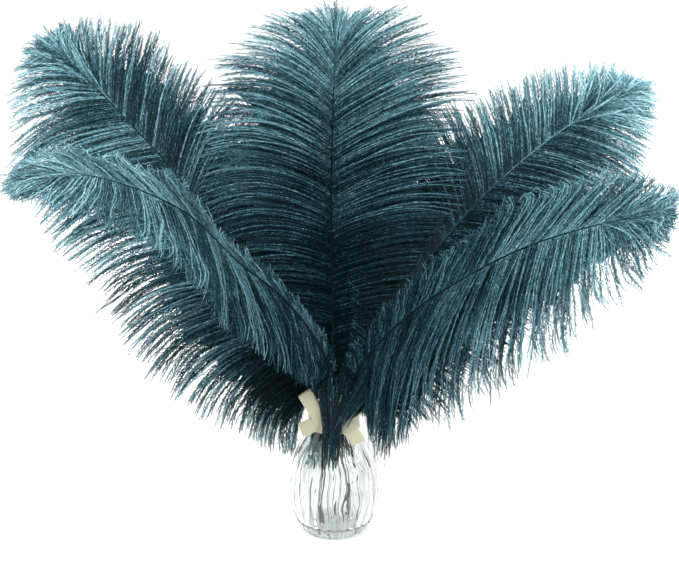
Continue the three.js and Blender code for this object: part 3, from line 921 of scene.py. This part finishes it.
def angle_setting(name, description, degrees):
    return bpy.props.FloatProperty(
        name=name, description=description, default=math.radians(degrees), subtype="ANGLE"
    )


def colour_setting(name, description, hex_colour):
    return bpy.props.FloatVectorProperty(
        name=name, description=description, default=linear(hex_colour), subtype="COLOR", size=4
    )


class PlumeSettings(bpy.types.PropertyGroup):
    barbs: bpy.props.IntProperty(
        name="Barbs per Side", description="Barbs on each side of a shaft", default=450
    )
    tuft: bpy.props.IntProperty(name="Tuft", description="Barbs round a shaft's tip", default=170)
    down: bpy.props.IntProperty(name="Down", description="Barbs of down per mm of half width", default=6)
    steps: bpy.props.IntProperty(name="Steps", description="Straight steps along a barb", default=12)
    spacing: length_setting("Barbule Spacing", "Between barbules along a barb", 0.43 * MM)
    barbule: length_setting("Barbule Length", "Longest barbule", 3.6 * MM)
    width: length_setting("Barbule Width", "Where it leaves the barb", 0.38 * MM)
    angle: angle_setting("Barbule Angle", "Between barbule and barb", 22)
    stem: length_setting("Barb Radius", "At the shaft", 0.22 * MM)
    root_radius: length_setting("Quill Radius", "At the plume's foot", 1.1 * MM)
    vane_radius: length_setting("Shaft Radius", "Where the vanes begin", 1.0 * MM)
    tip_radius: length_setting("Tip Radius", "At the plume's tip", 0.3 * MM)


class DyeSettings(bpy.types.PropertyGroup):
    root: colour_setting("Root", "Darkest dye, at the roots", "#02141a")
    middle: colour_setting("Middle", "Dye over most of a barb", "#17353e")
    tip: colour_setting("Tip", "Palest dye, at the tips", "#628e98")
    # glint: a painted highlight that the palest strands reach where the painted light adds up
    glint: colour_setting("Glint", "Barbs that took hardly any dye", "#9dc3ca")


class VaseSettings(bpy.types.PropertyGroup):
    ribs: bpy.props.IntProperty(name="Ribs", description="Upright ribs round the vase", default=24)
    depth: length_setting("Rib Depth", "Half the height of a rib", 0.5 * MM)
    waviness: bpy.props.FloatProperty(
        name="Waviness", description="How far a rib wanders sideways, in ribs", default=0.6
    )
    wall: length_setting("Wall", "Thickness of the glass", 2.0 * MM)
    floor: length_setting("Floor", "Thickness of the glass under the stems", 7.5 * MM)
    glass: colour_setting("Glass", "Tint of the glass", "#f4f8f6")


class RibbonSettings(bpy.types.PropertyGroup):
    width: length_setting("Width", "Width of the ribbon", 10 * MM)
    thickness: length_setting("Thickness", "Thickness of the ribbon", 0.25 * MM)
    satin: colour_setting("Satin", "Colour of the ribbon", "#8c8b74")
    selvedge: colour_setting("Selvedge", "Colour of its edges", "#a3a18b")


class StageSettings(bpy.types.PropertyGroup):
    elevation: angle_setting("Camera Elevation", "Above the horizon", 15)
    distance: length_setting("Camera Distance", "From the middle of the spray", 1.3)
    lens: bpy.props.FloatProperty(name="Lens", description="Focal length in mm", default=101.4)
    target: bpy.props.FloatVectorProperty(
        name="Target", description="What the camera looks at", default=(0.0037, 0.0, 0.181), subtype="XYZ"
    )
    daylight: bpy.props.FloatProperty(
        name="Daylight", description="Strength of the white room", default=1.0
    )
    key: bpy.props.FloatProperty(name="Key Light", description="Power of the main light in W", default=36.0)


# ---------------- operators


class MakePlumes(bpy.types.Operator):
    """Makes the five plumes: shaft, vanes of separate strands, and down at their foot"""

    bl_idname = "object.make_ostrich_plumes"
    bl_label = "Make Plumes"

    def execute(self, context):
        corners = [(0, -0.5, 0), (1, 0, 0), (0, 0.5, 0)]
        # barbules are painted darker towards their ends, a painted shade; the stems, without this attribute,
        # stay paler, a painted highlight
        barbule = mesh_object("barbule", corners, [(0, 1, 2)], attributes={"painted_shade": [0.35, 1, 0.35]})
        tree = strand_tree()
        for seed, (name, plume) in enumerate(PLUMES.items()):
            piece = feathered(name, plume, seed, tree, barbule, context.scene.plume_settings)
            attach(piece, "root")
            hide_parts(name)
        bpy.data.objects.remove(barbule, do_unlink=True)
        return {"FINISHED"}


class MakeVase(bpy.types.Operator):
    """Makes the ribbed glass vase"""

    bl_idname = "object.make_bud_vase"
    bl_label = "Make Vase"

    def execute(self, context):
        settings = context.scene.bud_vase
        profile, rib = vase_profile(settings)
        sides = 288
        turn = np.linspace(0, 2 * math.pi, sides, endpoint=False)
        radii, heights = profile[1:-1, :1], profile[1:-1, 1:]
        heights = np.repeat(heights, sides, axis=1)
        rings = np.stack([radii * np.cos(turn), radii * np.sin(turn), heights], axis=2)
        centres = [[0, 0, profile[0, 1]], [0, 0, profile[-1, 1]]]
        vertices = np.vstack([rings.reshape(-1, 3), centres])
        faces = grid_faces(len(rings), sides, closed=True)
        under, over = len(vertices) - 2, len(vertices) - 1
        last = under - sides
        for i in range(sides):
            j = (i + 1) % sides
            faces += [(under, j, i), (over, last + i, last + j)]
        ribs = np.append(np.repeat(rib[1:-1], sides), [0, 0])
        blank = mesh_object("vase_blank", vertices, faces, attributes={"rib": ribs})
        modifier = blank.modifiers.new("ribs", "NODES")
        modifier.node_group = rib_tree()
        set_inputs(
            modifier, Ribs=settings.ribs, Depth=settings.depth, Waviness=settings.waviness,
            Glass=soda_lime_glass(),
        )
        vase = made_plain(blank, "ribbed_glass_vase")
        vase.data.shade_smooth()
        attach(vase, "root")
        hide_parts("vase")
        return {"FINISHED"}


class MakeRibbon(bpy.types.Operator):
    """Makes the satin ribbon: the band round the neck, the knot, two loops and two tails"""

    bl_idname = "object.make_ribbon_bow"
    bl_label = "Make Ribbon"

    HOLLOW = 0.45 * MM  # how far the ribbon's edges cup

    def execute(self, context):
        settings = context.scene.ribbon_bow
        width = np.linspace(-1, 1, 9)
        vertices, faces, run = [], [], []
        length = 0.0
        for path, lean, open_width in ribbon_paths():
            points = even_curve(path, 40)
            tangent = unit(np.gradient(points, axis=0))
            across_run = unit(lean - tangent * (tangent @ np.array(lean, dtype=float))[:, None])
            cupped = np.cross(tangent, across_run) * self.HOLLOW
            steps = np.linalg.norm(np.diff(points, axis=0), axis=1)
            travelled = length + np.concatenate([[0], np.cumsum(steps)])
            length = travelled[-1]
            sideways = (width * open_width * settings.width / 2)[:, None]
            faces += grid_faces(len(points), len(width), first=len(vertices))
            vertices += [
                place for point, way, hollow in zip(points, across_run, cupped)
                for place in point + sideways * way + (width * width)[:, None] * hollow
            ]
            run += np.repeat(travelled / settings.width, len(width)).tolist()
        attributes = {"run": run, "across": np.tile(width, len(run) // len(width))}
        ribbon = mesh_object("satin_ribbon_bow", vertices, faces, attributes=attributes)
        ribbon.data.materials.append(woven_satin())
        ribbon.data.shade_smooth()
        wall = ribbon.modifiers.new("cloth thickness", "SOLIDIFY")
        wall.thickness = settings.thickness
        wall.offset = 0
        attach(ribbon, "root")
        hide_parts("ribbon_bow")
        return {"FINISHED"}


class MakeStage(bpy.types.Operator):
    """Makes the white studio: floor, two dark flags that edge the glass, soft light and camera"""

    bl_idname = "scene.make_white_studio"
    bl_label = "Make Studio"

    FLOOR_HALF = 6.0
    FLAG_X, FLAG_Y, FLAG_TOP = 0.4, 0.22, 0.16  # beside the vase, before and behind it, and up from the floor
    # name, place, side and share of the key light's power
    LAMPS = (
        ("key softbox", (-0.4, -0.9, 1.3), 0.7, 1.0),
        ("fill softbox", (1.0, -0.8, 0.7), 0.8, 0.35),
    )
    LIT_PLACE = Vector((0, 0, 0.18))
    WHITE = (1, 1, 1, 1)

    def execute(self, context):
        scene = context.scene
        settings = scene.white_studio
        half = self.FLOOR_HALF
        corners = [(-half, -half, 0), (half, -half, 0), (half, half, 0), (-half, half, 0)]
        floor = mesh_object("studio_floor", corners, [(0, 1, 2, 3)])
        # matt paper that glows a little, so that the floor is as white as the room
        floor.data.materials.append(plain_finish(
            "matt white paper", Base_Color=linear("#fbfbfb"), Roughness=1.0, Specular_IOR_Level=0.0,
            Emission_Color=self.WHITE, Emission_Strength=0.15,
        ))
        velvet = plain_finish("black velvet", Base_Color=linear("#0a0a0a"))
        for side in (-1, 1):
            x, y, top = side * self.FLAG_X, self.FLAG_Y, self.FLAG_TOP
            corners = [(x, -y, 0), (x, y, 0), (x, y, top), (x, -y, top)]
            flag = mesh_object("dark_flag", corners, [(0, 1, 2, 3)[::-side]])
            flag.data.materials.append(velvet)
            flag.visible_camera = False
        scene.world = bpy.data.worlds.new("white room")
        scene.world.use_nodes = True
        background = scene.world.node_tree.nodes["Background"]
        background.inputs["Color"].default_value = self.WHITE
        background.inputs["Strength"].default_value = settings.daylight
        for name, place, side, share in self.LAMPS:
            light = bpy.data.lights.new(name, "AREA")
            light.size = side
            light.energy = settings.key * share
            lamp = bpy.data.objects.new(name, light)
            lamp.location = place
            lamp.rotation_euler = (self.LIT_PLACE - Vector(place)).to_track_quat("-Z", "Y").to_euler()
            scene.collection.objects.link(lamp)
        lens = bpy.data.cameras.new("camera")
        lens.lens = settings.lens
        lens.sensor_width = 36
        camera = bpy.data.objects.new("camera", lens)
        back = Vector((0, -math.cos(settings.elevation), math.sin(settings.elevation)))
        camera.location = Vector(settings.target) + back * settings.distance
        camera.rotation_euler = (-back).to_track_quat("-Z", "Y").to_euler()
        scene.collection.objects.link(camera)
        scene.camera = camera
        scene.view_settings.view_transform = "Standard"
        return {"FINISHED"}


class VIEW3D_PT_plumes(bpy.types.Panel):
    """Lists the makers in the sidebar"""

    bl_label = "Plumes in a Vase"
    bl_space_type = "VIEW_3D"
    bl_region_type = "UI"
    bl_category = "Plumes"

    def draw(self, context):
        for operator in OPERATORS:
            self.layout.operator(operator.bl_idname)


SETTINGS = {
    "plume_settings": PlumeSettings,
    "plume_dye": DyeSettings,
    "bud_vase": VaseSettings,
    "ribbon_bow": RibbonSettings,
    "white_studio": StageSettings,
}
OPERATORS = (MakeStage, MakeVase, MakeRibbon, MakePlumes)


def register():
    for cls in (*SETTINGS.values(), *OPERATORS, VIEW3D_PT_plumes):
        bpy.utils.register_class(cls)
    for name, cls in SETTINGS.items():
        setattr(bpy.types.Scene, name, bpy.props.PointerProperty(type=cls))


def unregister():
    for name in SETTINGS:
        delattr(bpy.types.Scene, name)
    for cls in reversed((*SETTINGS.values(), *OPERATORS, VIEW3D_PT_plumes)):
        bpy.utils.unregister_class(cls)


def main():
    register()
    bpy.ops.scene.make_white_studio()
    bpy.ops.object.make_bud_vase()
    bpy.ops.object.make_ribbon_bow()
    bpy.ops.object.make_ostrich_plumes()


if __name__ == "__main__":
    main()
